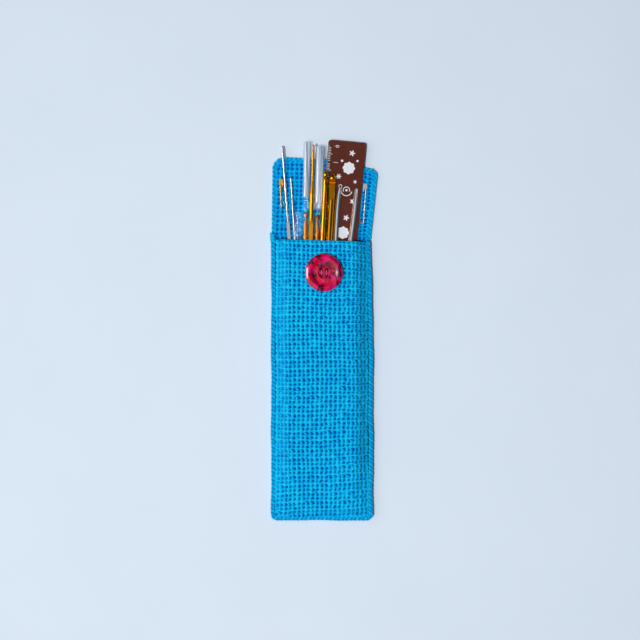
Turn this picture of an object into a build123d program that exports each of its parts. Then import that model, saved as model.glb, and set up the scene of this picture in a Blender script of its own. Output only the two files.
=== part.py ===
"""Crochet hook case: a crocheted pouch lying on its back, with hooks, storage
tubes, a ruler and tweezers standing out of its mouth, and two safety pins on
its flap. Millimetres. X runs across the case, Y from its foot to its flap and
Z up from the table. The origin is the middle of the pocket's mouth, at the
underside of the back panel."""
from math import atan, cos, degrees, hypot, pi, radians, sin, sqrt, tan
import os

from build123d import *

# Crocheted fabric
fabric = 2.6
pocket_width = 62.4
pocket_length = 173.4
edging_width = 2.4
edging_bevel = 1.0
foot_corner_radius = 3.5
seam_strip = 1.6
shoulder_width = 40.0
shoulder_round = 6.0
taper_start = 131.0
taper_end = 166.5
foot_gap = 0.5
mouth_drop = 2.0

# Flap, drawn as it lies above the mouth
fold_gap = 0.3
flap_base_left = -31.2
flap_base_right = 30.0
flap_top_left = (-29.0, 50.9)
flap_top_middle = (3.1, 49.6)
flap_top_right = (34.6, 43.0)
flap_side_right = (32.0, 20.0)
flap_left_radius = 5.0
flap_right_radius = 4.5
flap_border_width = 2.3
buttonhole_length = 20.0
buttonhole_height = 4.8

# Button
button_diameter = 23.0
button_thickness = 4.4
button_rim_width = 2.6
button_rim_bevel = 0.7
button_foot_bevel = 1.8
button_dish = 1.2
button_eye_diameter = 7.0
button_eye_depth = 0.9
eye_slope = 0.3
button_hole_diameter = 1.9
button_hole_spacing = 2.9
button_middle = (1.2, -21.0)
thread_radius = 0.45

# How many flat sides the pins' wire and the thread have
wire_sides = 6

# Clearance between tools that lie over each other, and how far down the pocket they can go
lie = 0.25
deepest = 130.0
running = 0.12
loose = 0.3

# Where each tool crosses the mouth, how it leans, and where its top ends
steel_long_line = (-20.2, -0.072)
steel_long_top = 57.5
steel_long_length = 125.0
steel_short_line = (-16.7, -0.062)
steel_short_top = 38.7
steel_short_length = 115.0
steel_radius = 0.8
steel_rest_width = 2.0
steel_rest_thickness = 1.0

sleeve_line = (-14.5, 0.023)
sleeve_top = 16.9
sleeve_length = 70.0
sleeve_radius = 2.1
tube_wall = 0.35

tube_a_line = (-10.3, 0.023)
tube_a_radius = 1.8
cap_a_radius = 2.25
cap_a_top = 59.7
cap_a_length = 34.2
tube_a_foot = -106.0
hook_a_top = 16.7
hook_a_length = 120.0

tube_b_line = (-3.2, 0.04)
tube_b_radius = 2.1
cap_b_radius = 2.75
cap_b_top = 57.3
cap_b_length = 35.3
tube_b_foot = -107.0
hook_b_top = 15.0
hook_b_length = 118.0

cap_grip = 13.0
cap_roof = 1.0
tube_floor = 1.2

slim_line = (-6.9, 0.03)
slim_top = 57.7
slim_length = 150.0
slim_radius = 1.4
slim_neck_radius = 0.8

middle_line = (0.3, 0.05)
middle_top = 41.7
middle_length = 150.0
middle_radius = 1.45

wide_line = (4.2, 0.062)
wide_top = 40.6
wide_length = 150.0
wide_radius = 2.0

rest_start = 45.0
rest_length = 30.0
neck_length = 22.0
neck_taper = 8.0
nose_share = 0.55
nose_angle = radians(25)

ruler_line = (10.1, 0.093)
ruler_top = 60.3
ruler_length = 156.0
ruler_width = 23.2
ruler_thickness = 1.2
ruler_corner = 1.5
ruler_bevel = 3.0
ruler_edge_thickness = 0.6

tweezers_line = (13.0, 0.095)
tweezers_top = 31.5
tweezers_length = 120.0
tweezers_leg_width = 3.0
tweezers_leg_thickness = 1.9
tweezers_tip_gap = 8.2
tweezers_tail_width = 1.2
tail_length = 6.0

# Safety pins, closed through the flap
brass_pin_foot = (-24.15, 19.8)
brass_pin_lean = -0.07
brass_pin_length = 17.6
brass_wire_radius = 0.38
brass_coil_radius = 0.8
brass_head_half = 0.6
steel_pin_foot = (24.75, 10.9)
steel_pin_lean = 0.084
steel_pin_length = 23.6
steel_wire_radius = 0.4
steel_coil_radius = 1.05
steel_head_half = 0.65
cap_length = 4.0
cap_wall = 0.2
pin_rise = 4.2
coil_gap = 0.8
coil_turns = 1.5
pin_clearance = 0.25


def line_x(line, y):
    """Where a tool's axis stands across the case at the height y."""
    return line[0] + line[1] * y


def stacked(low_line, high_line, low_radius, high_radius, y):
    """How far above a lower round tool an upper one lies where their lines stand at y."""
    across = abs(line_x(high_line, y) - line_x(low_line, y))
    reach = low_radius + high_radius + lie
    return sqrt(max(reach ** 2 - across ** 2, 0.0))


# Levels of the tools, from the back panel up
floor = fabric + lie
ruler_low = floor
ruler_high = ruler_low + ruler_thickness
steel_z = floor + steel_radius
tube_a_z = steel_z + steel_radius + lie + tube_a_radius
tube_b_z = ruler_high + lie + tube_b_radius
sleeve_z = tube_a_z + stacked(tube_a_line, sleeve_line, cap_a_radius, sleeve_radius, 0)
slim_z = max(
    tube_a_z + stacked(tube_a_line, slim_line, tube_a_radius, slim_radius, -deepest),
    tube_b_z + stacked(tube_b_line, slim_line, tube_b_radius, slim_radius, -deepest),
)
middle_z = tube_b_z + stacked(tube_b_line, middle_line, tube_b_radius, middle_radius, -deepest)
wide_z = ruler_high + lie + wide_radius
tweezers_z = ruler_high + lie + tweezers_leg_thickness / 2
pocket_roof = lie + max(
    sleeve_z + sleeve_radius,
    tube_b_z + cap_b_radius,
    slim_z + slim_radius,
    middle_z + middle_radius,
    wide_z + wide_radius,
)

half_width = pocket_width / 2
panel_half = half_width - edging_width
foot_y = -pocket_length
panel_foot = foot_y + edging_width
seam_height = 2 * fabric


def lay(shape, line, z):
    """Lays a tool made along Y, with the mouth at y = 0, on its line at its level."""
    return Pos(line[0], 0, z) * Rot(0, 0, -degrees(atan(line[1]))) * shape


def along(line, y):
    """Distance along a leaning line from the mouth to the height y."""
    return y * hypot(1, line[1])


def rod(radius, foot, top):
    """A round bar along Y."""
    return Pos(0, (foot + top) / 2, 0) * Rot(90, 0, 0) * Cylinder(radius, top - foot)


def end_edge(body, end):
    """The round edge at a bar's foot, 0, or at its top, -1."""
    return body.edges().filter_by(GeomType.CIRCLE).sort_by(Axis.Y)[end]


def panel_section(y, roof):
    """The front panel's cross-section at y: flat on top, sloping to the two seams."""
    inner_rim = panel_half - seam_strip
    shoulder = shoulder_width / 2
    inner = [(inner_rim, fabric), (shoulder - fabric / 2, roof)]
    outer = [(shoulder, roof + fabric), (panel_half, seam_height)]
    right = inner + outer + [(panel_half, fabric)]
    left = [(-x, z) for x, z in reversed(right)]
    ring = [right[4], right[3], right[2], left[2], left[1], left[0], left[4], left[3], right[1], right[0]]
    face = make_face(Plane.XZ * Polyline(*ring, close=True))
    corners = [v for v in face.vertices() if v.Z > seam_height]
    bend = min(shoulder_round, (roof - fabric) * 0.7)
    outer_corners = [v for v in corners if v.Z > roof + fabric / 2]
    inner_corners = [v for v in corners if v.Z <= roof + fabric / 2]
    if inner_corners:
        face = fillet(inner_corners, bend)
        outer_corners = [v for v in face.vertices() if v.Z > roof + fabric - 0.01]
    face = fillet(outer_corners, bend + fabric)
    return Pos(0, y, 0) * face


def front_panel():
    """The arched front of the pocket, tapering to a flat foot past the tools."""
    mouth = extrude(panel_section(0, pocket_roof), amount=taper_start, dir=(0, -1, 0))
    low_roof = seam_height + foot_gap
    half_roof = (pocket_roof + low_roof) / 2
    middle = (taper_start + taper_end) / 2
    sections = [
        panel_section(-taper_start, pocket_roof),
        panel_section(-middle, half_roof),
        panel_section(-taper_end, low_roof),
    ]
    taper = loft(sections, ruled=True)
    foot_length = -panel_foot - taper_end
    foot = Pos(0, -taper_end - foot_length / 2, fabric) * Box(
        2 * panel_half, foot_length, fabric, align=(Align.CENTER, Align.CENTER, Align.MIN)
    )
    slant = Rot(0, 0, -degrees(atan(mouth_drop / (2 * panel_half))))
    trim = Pos(-panel_half, 0, 0) * slant * Box(
        4 * panel_half, 4 * mouth_drop, 4 * pocket_roof, align=(Align.CENTER, Align.MIN, Align.CENTER)
    )
    return mouth + taper + foot - trim


def back_panel():
    """The flat back of the pocket."""
    return Box(
        2 * panel_half, -panel_foot, fabric, align=(Align.CENTER, Align.MAX, Align.MIN)
    )


def edging():
    """The border worked round the pocket's sides and foot: left, right and foot bars."""
    outline = Rectangle(pocket_width, pocket_length, align=(Align.CENTER, Align.MAX))
    outline = fillet(outline.vertices().group_by(Axis.Y)[0], foot_corner_radius)
    border = extrude(outline, amount=seam_height)
    rims = border.edges().group_by(Axis.Z)
    outer = [e for e in rims[0] + rims[-1] if e.center().Y < -0.01]
    border = chamfer(outer, edging_bevel)
    inside = Box(
        2 * panel_half, -panel_foot, seam_height, align=(Align.CENTER, Align.MAX, Align.MIN)
    )
    border -= inside
    split = foot_y + edging_width + foot_corner_radius
    wide = pocket_width * 2
    foot_zone = Pos(0, split, 0) * Box(
        wide, pocket_length, wide, align=(Align.CENTER, Align.MAX, Align.CENTER)
    )
    foot_bar = border & foot_zone
    sides = border - foot_zone
    left, right = sides.solids().sort_by(Axis.X)
    return left, right, foot_bar


def flap_outline():
    """The flap's outline, running on below the fold so that it can be offset."""
    run_on = 20.0
    left_slope = (flap_top_left[0] - flap_base_left) / flap_top_left[1]
    right_slope = (flap_side_right[0] - flap_base_right) / flap_side_right[1]
    corners = [
        (flap_base_left - left_slope * run_on, -run_on),
        flap_top_left,
        flap_top_middle,
        flap_top_right,
        flap_side_right,
        (flap_base_right - right_slope * run_on, -run_on),
    ]
    face = make_face(Polyline(*corners, close=True))
    left_corner = face.vertices().sort_by_distance((*flap_top_left, 0))[0]
    face = fillet(left_corner, flap_left_radius)
    right_corner = face.vertices().sort_by_distance((*flap_top_right, 0))[0]
    return fillet(right_corner, flap_right_radius)


def flap():
    """The flap's panel with its buttonhole, and the border round its free edge."""
    outline = flap_outline()
    inner = offset(outline, amount=-flap_border_width, kind=Kind.INTERSECTION)
    above = Pos(0, fold_gap) * Rectangle(200, 100, align=(Align.CENTER, Align.MIN))
    inner_high = Pos(0, -15) * Rectangle(200, 200, align=(Align.CENTER, Align.MIN)) & inner
    panel = extrude(inner_high & above, amount=fabric)
    border = extrude((outline - inner_high) & above, amount=fabric)
    hole_y = -button_middle[1]
    hole = Pos(button_middle[0], hole_y) * SlotOverall(buttonhole_length, buttonhole_height)
    panel -= extrude(hole, amount=fabric)
    return panel, border


def button():
    """A dished button with a raised rim and a sunken eye with four holes."""
    radius = button_diameter / 2
    inner = radius - button_rim_width
    eye = button_eye_diameter / 2
    thick = button_thickness
    dish = thick - button_dish
    profile = Polyline(
        (0, 0), (radius - button_foot_bevel, 0), (radius, button_foot_bevel),
        (radius, thick - button_rim_bevel), (radius - button_rim_bevel, thick),
        (inner + button_rim_bevel, thick), (inner, thick - button_rim_bevel),
        (eye, dish), (eye - eye_slope, dish - button_eye_depth), (0, dish - button_eye_depth),
        close=True,
    )
    body = revolve(make_face(Plane.XZ * profile), Axis.Z)
    for x, y in hole_places():
        body -= Pos(x, y, 0) * Cylinder(button_hole_diameter / 2, 3 * thick)
    return Pos(*button_middle, button_seat) * body


def hole_places():
    """The middles of the button's four holes, from its own middle."""
    half = button_hole_spacing / 2
    return [(x, y) for x in (-half, half) for y in (-half, half)]


def button_thread():
    """Two sewing stitches over the button's eye, with four legs down to the fabric."""
    eye_floor = button_thickness - button_dish - button_eye_depth
    top = eye_floor + loose + thread_radius
    thread_foot = 0.1 - loose
    stitches = []
    half = button_hole_spacing / 2
    section = RegularPolygon(thread_radius, wire_sides)
    leg = extrude(section, amount=top - thread_foot)
    bridge = Rot(90, 0, 0) * extrude(section, amount=half + thread_radius, both=True)
    for x in (-half, half):
        legs = [Pos(x, y, thread_foot) * leg for y in (-half, half)]
        stitches.append(legs[0] + legs[1] + Pos(x, 0, top) * bridge)
    return Pos(*button_middle, button_seat) * Compound(children=stitches)


def throat(radius, tip, turn):
    """What is cut from a hook's head: a round throat that opens up a long slope."""
    depth = radius * 0.95
    bottom = tip - radius * 3.4
    lip = tip - radius * 2.2
    slope_end = tip - radius * 8.5
    reach = radius * 1.6
    with BuildSketch(Plane.XY) as cut:
        with BuildLine():
            Polyline((reach, lip + radius * 0.55), (radius * 0.35, lip - radius * 0.05))
            ThreePointArc(
                (radius * 0.35, lip - radius * 0.05), (radius - depth * 1.22, (lip + bottom) / 2),
                (radius * 0.2, bottom - radius * 0.4),
            )
            Polyline((radius * 0.2, bottom - radius * 0.4), (radius, slope_end), (reach, slope_end))
            Line((reach, slope_end), (reach, lip + radius * 0.55))
        make_face()
    wedge = extrude(cut.sketch, amount=radius * 1.5, both=True)
    return Rot(0, turn, 0) * wedge


def thumb_rest(radius, tip, thickness, start):
    """What is pressed away at a hook's thumb rest: a flat above and one below."""
    flats = []
    length = rest_length
    middle = tip - start - length / 2
    for side in (-1, 1):
        ramp = Polyline(
            (-length / 2, radius * 1.3), (-length / 2 + 3, thickness / 2),
            (length / 2 - 3, thickness / 2), (length / 2, radius * 1.3), close=True,
        )
        wedge = extrude(make_face(ramp), amount=radius * 2, both=True)
        wedge = Rot(0, 90, 0) * Rot(0, 0, 90) * wedge
        flats.append(Pos(0, middle, 0) * (wedge if side > 0 else Rot(0, 180, 0) * wedge))
    return flats


def crochet_hook(line, top, length, radius, head_radius, turn, start=rest_start):
    """A crochet hook along Y: rounded head with its throat, neck, thumb rest and handle."""
    tip = along(line, top)
    foot = tip - length
    nose = head_radius * nose_share
    side = nose * cos(nose_angle)
    side_y = tip - nose + nose * sin(nose_angle)
    shoulder = side_y - (head_radius - side) / tan(nose_angle)
    bevel = radius * 0.4
    points = [(0, foot), (radius - bevel, foot), (radius, foot + bevel)]
    if head_radius < radius:
        neck_foot = tip - neck_length
        points += [(radius, neck_foot - neck_taper), (head_radius, neck_foot)]
    points += [(head_radius, shoulder), (side, side_y)]
    middle_angle = (nose_angle + pi / 2) / 2
    with BuildSketch(Plane.XY) as half:
        with BuildLine():
            Polyline(*points)
            ThreePointArc(
                (side, side_y),
                (nose * cos(middle_angle), tip - nose + nose * sin(middle_angle)),
                (0, tip),
            )
            Line((0, tip), (0, foot))
        make_face()
    body = revolve(half.sketch, Axis.Y)
    body -= throat(head_radius, tip, turn)
    for flat in thumb_rest(radius, tip, radius * 1.25, start):
        body -= flat
    return body


def steel_hook(line, top, length, turn):
    """A fine steel hook, whose thumb rest is pressed wider than its shaft."""
    tip = along(line, top)
    body = crochet_hook(line, top, length, steel_radius, steel_radius, turn)
    middle = tip - rest_start - rest_length / 2
    plate = extrude(
        SlotOverall(rest_length - 4, steel_rest_width), amount=steel_rest_thickness / 2, both=True
    )
    return body + Pos(0, middle, 0) * Rot(0, 0, 90) * plate


def capped_tube(line, foot, top, radius, floor_thickness):
    """A clear tube along Y, open at its top and, with a floor, closed at its foot."""
    low = along(line, foot)
    high = along(line, top)
    body = rod(radius, low, high)
    bore_foot = low - 1
    if floor_thickness:
        body = chamfer(end_edge(body, 0), radius * 0.4)
        bore_foot = low + floor_thickness
    return body - rod(radius - tube_wall, bore_foot, high + 1)


def tube_cap(line, top, length, radius, tube_radius):
    """The tube's cap: a clear sleeve with a bevelled roof."""
    high = along(line, top)
    low = high - length
    body = rod(radius, low, high)
    body = chamfer(end_edge(body, -1), radius * 0.3)
    return body - rod(tube_radius + running, low - 1, high - cap_roof)


def cap_foot(line, top, length):
    """The height of a cap's open end."""
    return top - length / hypot(1, line[1])


def ruler():
    """A flat ruler with rounded corners and its scale edge bevelled."""
    top = along(ruler_line, ruler_top)
    plate = Pos(0, top - ruler_length / 2) * RectangleRounded(ruler_width, ruler_length, ruler_corner)
    body = extrude(plate, amount=ruler_thickness)
    edge = -ruler_width / 2
    drop = ruler_thickness - ruler_edge_thickness
    wedge = Plane.XZ * Polyline(
        (edge - 1, ruler_thickness + 1), (edge - 1, ruler_edge_thickness - drop / ruler_bevel),
        (edge + ruler_bevel, ruler_thickness), (edge + ruler_bevel, ruler_thickness + 1), close=True,
    )
    bevel = extrude(make_face(wedge), amount=ruler_length, both=True)
    return body - bevel


def leg_section(y, x, width, thick):
    """One section of a tweezers leg: flat below, bevelled on both sides above."""
    half = width / 2
    shape = Polyline(
        (-half, -thick / 2), (half, -thick / 2), (half, 0.05 * thick),
        (half * 0.3, thick / 2), (-half * 0.3, thick / 2), (-half, 0.05 * thick), close=True,
    )
    return Pos(x, y, 0) * make_face(Plane.XZ * shape)


def tweezers_leg(side):
    """One sprung leg of the tweezers, bowed out from the tail to a narrow tip."""
    tip = along(tweezers_line, tweezers_top)
    tail = tip - tweezers_length
    root = tweezers_tail_width / 2 + loose / 2
    half_gap = tweezers_tip_gap / 2
    sections = []
    for share, width_share in ((0, 0), (0.12, 0.15), (0.45, 0.9), (0.75, 1), (0.93, 0.9), (1, 0.3)):
        width = tweezers_tail_width + (tweezers_leg_width - tweezers_tail_width) * width_share
        spread = half_gap * share
        x = side * (root + spread + (width - tweezers_tail_width) / 2)
        y = tail + tweezers_length * share
        sections.append(leg_section(y, x, width, tweezers_leg_thickness * (0.75 + 0.25 * width_share)))
    return loft(sections)


def tweezers_tail():
    """The tail of the tweezers, where the left leg's end is folded round the right one's."""
    tail = along(tweezers_line, tweezers_top) - tweezers_length
    width = 2 * tweezers_tail_width + loose
    thickness = tweezers_leg_thickness * 0.75
    block = Box(width, tail_length, thickness, align=(Align.CENTER, Align.MAX, Align.CENTER))
    block = fillet(block.edges().filter_by(Axis.Z).group_by(Axis.Y)[0], width * 0.45)
    bridge = Box(
        tweezers_tail_width, loose * 2, thickness, align=(Align.MAX, Align.CENTER, Align.CENTER)
    )
    return Pos(0, tail - loose, 0) * block + Pos(-loose / 2, tail - loose, 0) * bridge


def biarc(start, start_way, end, end_way):
    """Two arcs from start to end, leaving along start_way and arriving along end_way."""
    start, end = Vector(*start), Vector(*end)
    first, second = Vector(*start_way).normalized(), Vector(*end_way).normalized()
    chord = end - start
    ways = first + second
    spread = 2 * (1 - first.dot(second))
    if abs(spread) < 1e-6:
        reach = chord.dot(chord) / (4 * chord.dot(second))
    else:
        lean = chord.dot(ways)
        reach = (sqrt(lean ** 2 + spread * chord.dot(chord)) - lean) / spread
    knee = (start + first * reach + end - second * reach) * 0.5
    middle_way = (end - second * reach - start - first * reach).normalized()
    return [
        Edge.make_tangent_arc(start, first, knee),
        Edge.make_tangent_arc(knee, middle_way, end),
    ]


def pin_path(length, wire, coil, head_half):
    """A safety pin's wire: stem, coil, and the point that runs through the fabric.
    Gives the wire, and the three places between which its point runs and rises."""
    top_z = fabric + loose + wire
    drop = coil_turns * (2 * wire + coil_gap)
    low_z = top_z - drop
    quarters = round(coil_turns * 4)
    rise_end = length - cap_length - loose
    rise_start = rise_end - pin_rise
    wire_end = length - cap_wall - loose
    stem = Edge.make_line((head_half, wire_end, top_z), (coil, 0, top_z))
    lean = (2 * wire + coil_gap) / (2 * pi * coil)
    ways, places = [], []
    for step in range(quarters + 1):
        angle = -step * pi / 2
        places.append((coil * cos(angle), coil * sin(angle), top_z - drop * step / quarters))
        ways.append((sin(angle), -cos(angle), -lean))
    ways[0] = tuple(Vector(coil - head_half, -wire_end, 0))
    point_way = Vector(coil - head_half, wire_end, 0)
    ways[-1] = tuple(point_way)
    turns = []
    for step in range(quarters):
        turns += biarc(places[step], ways[step], places[step + 1], ways[step + 1])
    slope = (coil - head_half) / wire_end
    rise_from = Vector(-coil + slope * rise_start, rise_start, low_z)
    rise_to = Vector(-coil + slope * rise_end, rise_end, top_z)
    end = Vector(-head_half, wire_end, top_z)
    point = [Edge.make_line(places[-1], rise_from)]
    point += biarc(rise_from, point_way, rise_to, point_way)
    point.append(Edge.make_line(rise_to, end))
    return Wire([stem] + turns + point), [Vector(*places[-1]), rise_from, rise_to]


def least_coil_gap(path, wire, name):
    """Prints the least gap between neighbouring turns of a pin's coil."""
    count = 400
    points = [path.position_at(i / count) for i in range(count + 1)]
    apart = 3 * wire
    step = path.length / count
    skip = int(apart * 2 / step)
    gaps = [
        (points[i] - points[j]).length - 2 * wire
        for i in range(count + 1) for j in range(i + skip, count + 1)
    ]
    print(name, "least gap between turns", round(min(gaps), 2))


def straight_hole(start, end, half):
    """A square channel from one place to another."""
    way = end - start
    middle = Plane(origin=(start + end) * 0.5, x_dir=(1, 0, 0), z_dir=way)
    return middle * Box(2 * half, 2 * half, way.length)


def safety_pin(foot, lean, length, wire, coil, head_half, side, name):
    """A closed safety pin: its wire, its folded cap, and the tunnel and well it needs in the flap.
    side is +1 with the stem to the right, -1 with it to the left."""
    path, (point_start, rise_from, rise_to) = pin_path(length, wire, coil, head_half)
    least_coil_gap(path, wire, name)
    section = RegularPolygon(wire, wire_sides)
    body = sweep(Plane(origin=path @ 0, z_dir=path % 0) * section, path=path)
    hole = wire + pin_clearance
    way = (rise_from - point_start).normalized()
    tunnel = straight_hole(point_start, rise_from + way * 2 * wire, hole)
    ramp = straight_hole(rise_from, rise_to + (rise_to - rise_from) * 0.5, hole + 0.15)
    well_width = 2 * (coil + hole + 0.15)
    well = Pos(0, 0, point_start.Z - hole - 0.1) * Box(
        well_width, well_width, fabric, align=(Align.CENTER, Align.CENTER, Align.MIN)
    )
    cap_half = head_half + wire + cap_wall + 0.1
    outline = Pos(0, length) * Rectangle(2 * cap_half, cap_length, align=(Align.CENTER, Align.MAX))
    outline = fillet(outline.vertices().group_by(Axis.Y)[-1], cap_half * 0.8)
    cap_low = fabric + 0.1
    top_z = fabric + loose + wire
    cap = extrude(outline, amount=2 * (top_z - cap_low))
    cap = Pos(0, 0, cap_low) * chamfer(cap.edges().group_by(Axis.Z)[-1], 0.15)
    hollow = Pos(0, length - cap_wall, top_z) * Box(
        2 * (cap_half - cap_wall), cap_length, 2 * (wire + 0.06),
        align=(Align.CENTER, Align.MAX, Align.CENTER),
    )
    cap -= hollow
    pieces = [body, cap, tunnel, ramp, well]
    if side < 0:
        pieces = [mirror(piece, about=Plane.YZ) for piece in pieces]
    place = Pos(*foot, 0) * Rot(0, 0, -degrees(atan(lean)))
    return [place * piece for piece in pieces]


button_seat = pocket_roof + fabric + loose
os.makedirs("parts", exist_ok=True)
parts = {}

# Pouch
parts["back_panel"] = back_panel()
parts["front_panel"] = front_panel()
parts["edging_left"], parts["edging_right"], parts["edging_foot"] = edging()
parts["button"] = button()
parts["button_thread"] = button_thread()

# Flap with its two safety pins
flap_panel, flap_border = flap()
brass_wire, brass_cap, *brass_holes = safety_pin(
    brass_pin_foot, brass_pin_lean, brass_pin_length, brass_wire_radius,
    brass_coil_radius, brass_head_half, -1, "brass pin",
)
steel_wire, steel_cap, *steel_holes = safety_pin(
    steel_pin_foot, steel_pin_lean, steel_pin_length, steel_wire_radius,
    steel_coil_radius, steel_head_half, 1, "steel pin",
)
for hole in brass_holes + steel_holes:
    flap_panel -= hole
    flap_border -= hole
parts["flap_panel"] = flap_panel
parts["flap_border"] = flap_border
parts["brass_pin_wire"] = brass_wire
parts["brass_pin_cap"] = brass_cap
parts["steel_pin_wire"] = steel_wire
parts["steel_pin_cap"] = steel_cap

# Tools in the pocket, from left to right
parts["steel_hook_long"] = lay(
    steel_hook(steel_long_line, steel_long_top, steel_long_length, 180), steel_long_line, steel_z
)
parts["steel_hook_short"] = lay(
    steel_hook(steel_short_line, steel_short_top, steel_short_length, 0), steel_short_line, steel_z
)
sleeve_foot = sleeve_top - sleeve_length
parts["short_tube"] = lay(
    capped_tube(sleeve_line, sleeve_foot, sleeve_top, sleeve_radius, 0), sleeve_line, sleeve_z
)
tube_a_top = cap_foot(tube_a_line, cap_a_top, cap_a_length) + cap_grip
parts["storage_tube_a"] = lay(
    capped_tube(tube_a_line, tube_a_foot, tube_a_top, tube_a_radius, tube_floor), tube_a_line, tube_a_z
)
parts["tube_cap_a"] = lay(
    tube_cap(tube_a_line, cap_a_top, cap_a_length, cap_a_radius, tube_a_radius), tube_a_line, tube_a_z
)
hook_a_radius = tube_a_radius - tube_wall - lie
parts["gold_hook_in_tube_a"] = lay(
    crochet_hook(tube_a_line, hook_a_top, hook_a_length, hook_a_radius, hook_a_radius, 180),
    tube_a_line, tube_a_z,
)
parts["gold_hook_slim"] = lay(
    crochet_hook(slim_line, slim_top, slim_length, slim_radius, slim_neck_radius, 180), slim_line, slim_z
)
tube_b_top = cap_foot(tube_b_line, cap_b_top, cap_b_length) + cap_grip
parts["storage_tube_b"] = lay(
    capped_tube(tube_b_line, tube_b_foot, tube_b_top, tube_b_radius, tube_floor), tube_b_line, tube_b_z
)
parts["tube_cap_b"] = lay(
    tube_cap(tube_b_line, cap_b_top, cap_b_length, cap_b_radius, tube_b_radius), tube_b_line, tube_b_z
)
hook_b_radius = tube_b_radius - tube_wall - lie
parts["gold_hook_in_tube_b"] = lay(
    crochet_hook(tube_b_line, hook_b_top, hook_b_length, hook_b_radius, hook_b_radius, 0),
    tube_b_line, tube_b_z,
)
parts["gold_hook_middle"] = lay(
    crochet_hook(middle_line, middle_top, middle_length, middle_radius, middle_radius, -35),
    middle_line, middle_z,
)
parts["gold_hook_wide"] = lay(
    crochet_hook(wide_line, wide_top, wide_length, wide_radius, wide_radius, -90), wide_line, wide_z
)
parts["ruler"] = lay(ruler(), ruler_line, ruler_low)
parts["tweezers_left_leg"] = lay(tweezers_leg(-1) + tweezers_tail(), tweezers_line, tweezers_z)
parts["tweezers_right_leg"] = lay(tweezers_leg(1), tweezers_line, tweezers_z)

for name, part in parts.items():
    part.label = name
    export_step(part, f"parts/{name}.step")
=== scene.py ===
"""Crochet hook case: a turquoise crocheted pouch on a pale table, with crochet
hooks, clear storage tubes, a brown ruler and tweezers in its mouth, a red
button and two safety pins. Lengths below are in millimetres and are turned
into metres when a mesh is made."""
from math import atan, cos, hypot, pi, radians, sin

import bpy
import numpy as np
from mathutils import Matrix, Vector


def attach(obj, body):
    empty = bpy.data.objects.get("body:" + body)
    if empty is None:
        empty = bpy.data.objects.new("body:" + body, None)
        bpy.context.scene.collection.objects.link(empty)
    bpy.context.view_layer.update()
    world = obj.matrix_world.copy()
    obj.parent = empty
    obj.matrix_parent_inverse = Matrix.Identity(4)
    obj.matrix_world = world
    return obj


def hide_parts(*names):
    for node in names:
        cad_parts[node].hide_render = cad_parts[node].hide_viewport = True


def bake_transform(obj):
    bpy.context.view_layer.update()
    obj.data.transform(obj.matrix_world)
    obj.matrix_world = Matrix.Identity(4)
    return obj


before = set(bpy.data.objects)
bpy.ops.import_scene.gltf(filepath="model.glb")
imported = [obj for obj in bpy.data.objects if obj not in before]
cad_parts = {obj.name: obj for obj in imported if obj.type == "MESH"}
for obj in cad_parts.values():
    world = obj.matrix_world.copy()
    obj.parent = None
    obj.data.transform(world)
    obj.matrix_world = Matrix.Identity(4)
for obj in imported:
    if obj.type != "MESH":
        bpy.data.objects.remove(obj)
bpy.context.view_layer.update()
mm = 0.001

# Crochet gauge, fabric, and points along a stitch and round a thread or wire
stitch_pitch = 2.8
row_pitch = 2.73
fabric = 2.6
yarn_relief = 1.15
strand_samples = 7
back_samples = 6
round_sides = 14

# Pouch, as built: half width and foot of its panels, roof of its front with its taper to the foot,
# slant of its mouth, and the edging round it, which draws in at the mouth's right end
panel_half = 28.8
panel_foot = -171.0
front_roof = 13.8
low_roof = 8.3
seam_height = 5.2
taper_start = -126.0
taper_end = -168.0
foot_rise = 5.0
mouth_drop = 2.0
edging_middle = 30.0
edging_half = 1.55
edging_overhang = 1.05
foot_corner = 2.6
mouth_pull = 1.5
mouth_pull_start = -50.0
mouth_pull_bend = 400.0

# The stuffed front: how it rises from its seams, its inner sheet with the crown share that paints
# it in part shade, and the share of the relief at the seams, which also sets how much painted shade
# shows there, with what comes on top over a reach
stuffing_reach = 9.5
stuffing_power = 1.25
inner_inset = 0.3
inner_seam = 2.7
inner_columns = 36
inner_crown = 0.4
seam_relief = 0.55
added_relief = 0.45
added_reach = 3.4

# Its stitches: the middle one's number, the count a slope adds, the lean to the right, and how
# rows and stitches sag and sway, in cells over lengths
middle_stitch = 12.0
slope_share = 0.6
right_lean = 0.50
lean_reach = (0.6, 1.4)
stitch_sway = (0.10, 11.0)
row_sag = 0.55
row_sway = (0.08, 6.0, 17.0)

# The flat back: its face over the table, how round its ends are, and its inner sheet
back_face = 0.35
back_lip = 0.6
back_slack = 0.05
back_lean = 0.1
back_inner_columns = 24

# Crocheted borders: points along and round them, their flat oval's power, the lengths of their
# sway, how an end closes, the relief that shows upwards, and how the yarn's pattern lies
border_step = 0.36
border_sides = 28
oval_power = 0.5
sway_lengths = (8.3, 3.7)
second_sway = 0.6
border_close = 1.2
border_relief_up = 0.9
border_yarn = (0.8, 0.5)
edging_stitch = 0.9
edging_sway = 0.16
edging_tops = (0.2, -0.6)

# Flap outline: base, its left and right sides from foot to top, the right one's bulge and tuck, its
# top edge, the radii of its corners, its border, by shares of width and stitch, and the buttonhole
flap_base = -2.5
flap_left = (-31.2, -30.5)
flap_right = (30.0, 34.6)
flap_bulge = 32.3
flap_bulge_y = 20
flap_tuck = (0.2, -2)
flap_top = (50.9, 49.6, 43.0)
flap_ridge_x = 3.1
flap_corners = (7.0, 5.0)
corner_ease = 0.5
flap_border = 2.3
flap_border_half = 0.58
flap_border_stitch = 0.95
flap_border_foot = -1.0
flap_bend = 60.0
buttonhole_middle = (1.2, 21.0)
buttonhole_size = (20.0, 4.8)
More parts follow.
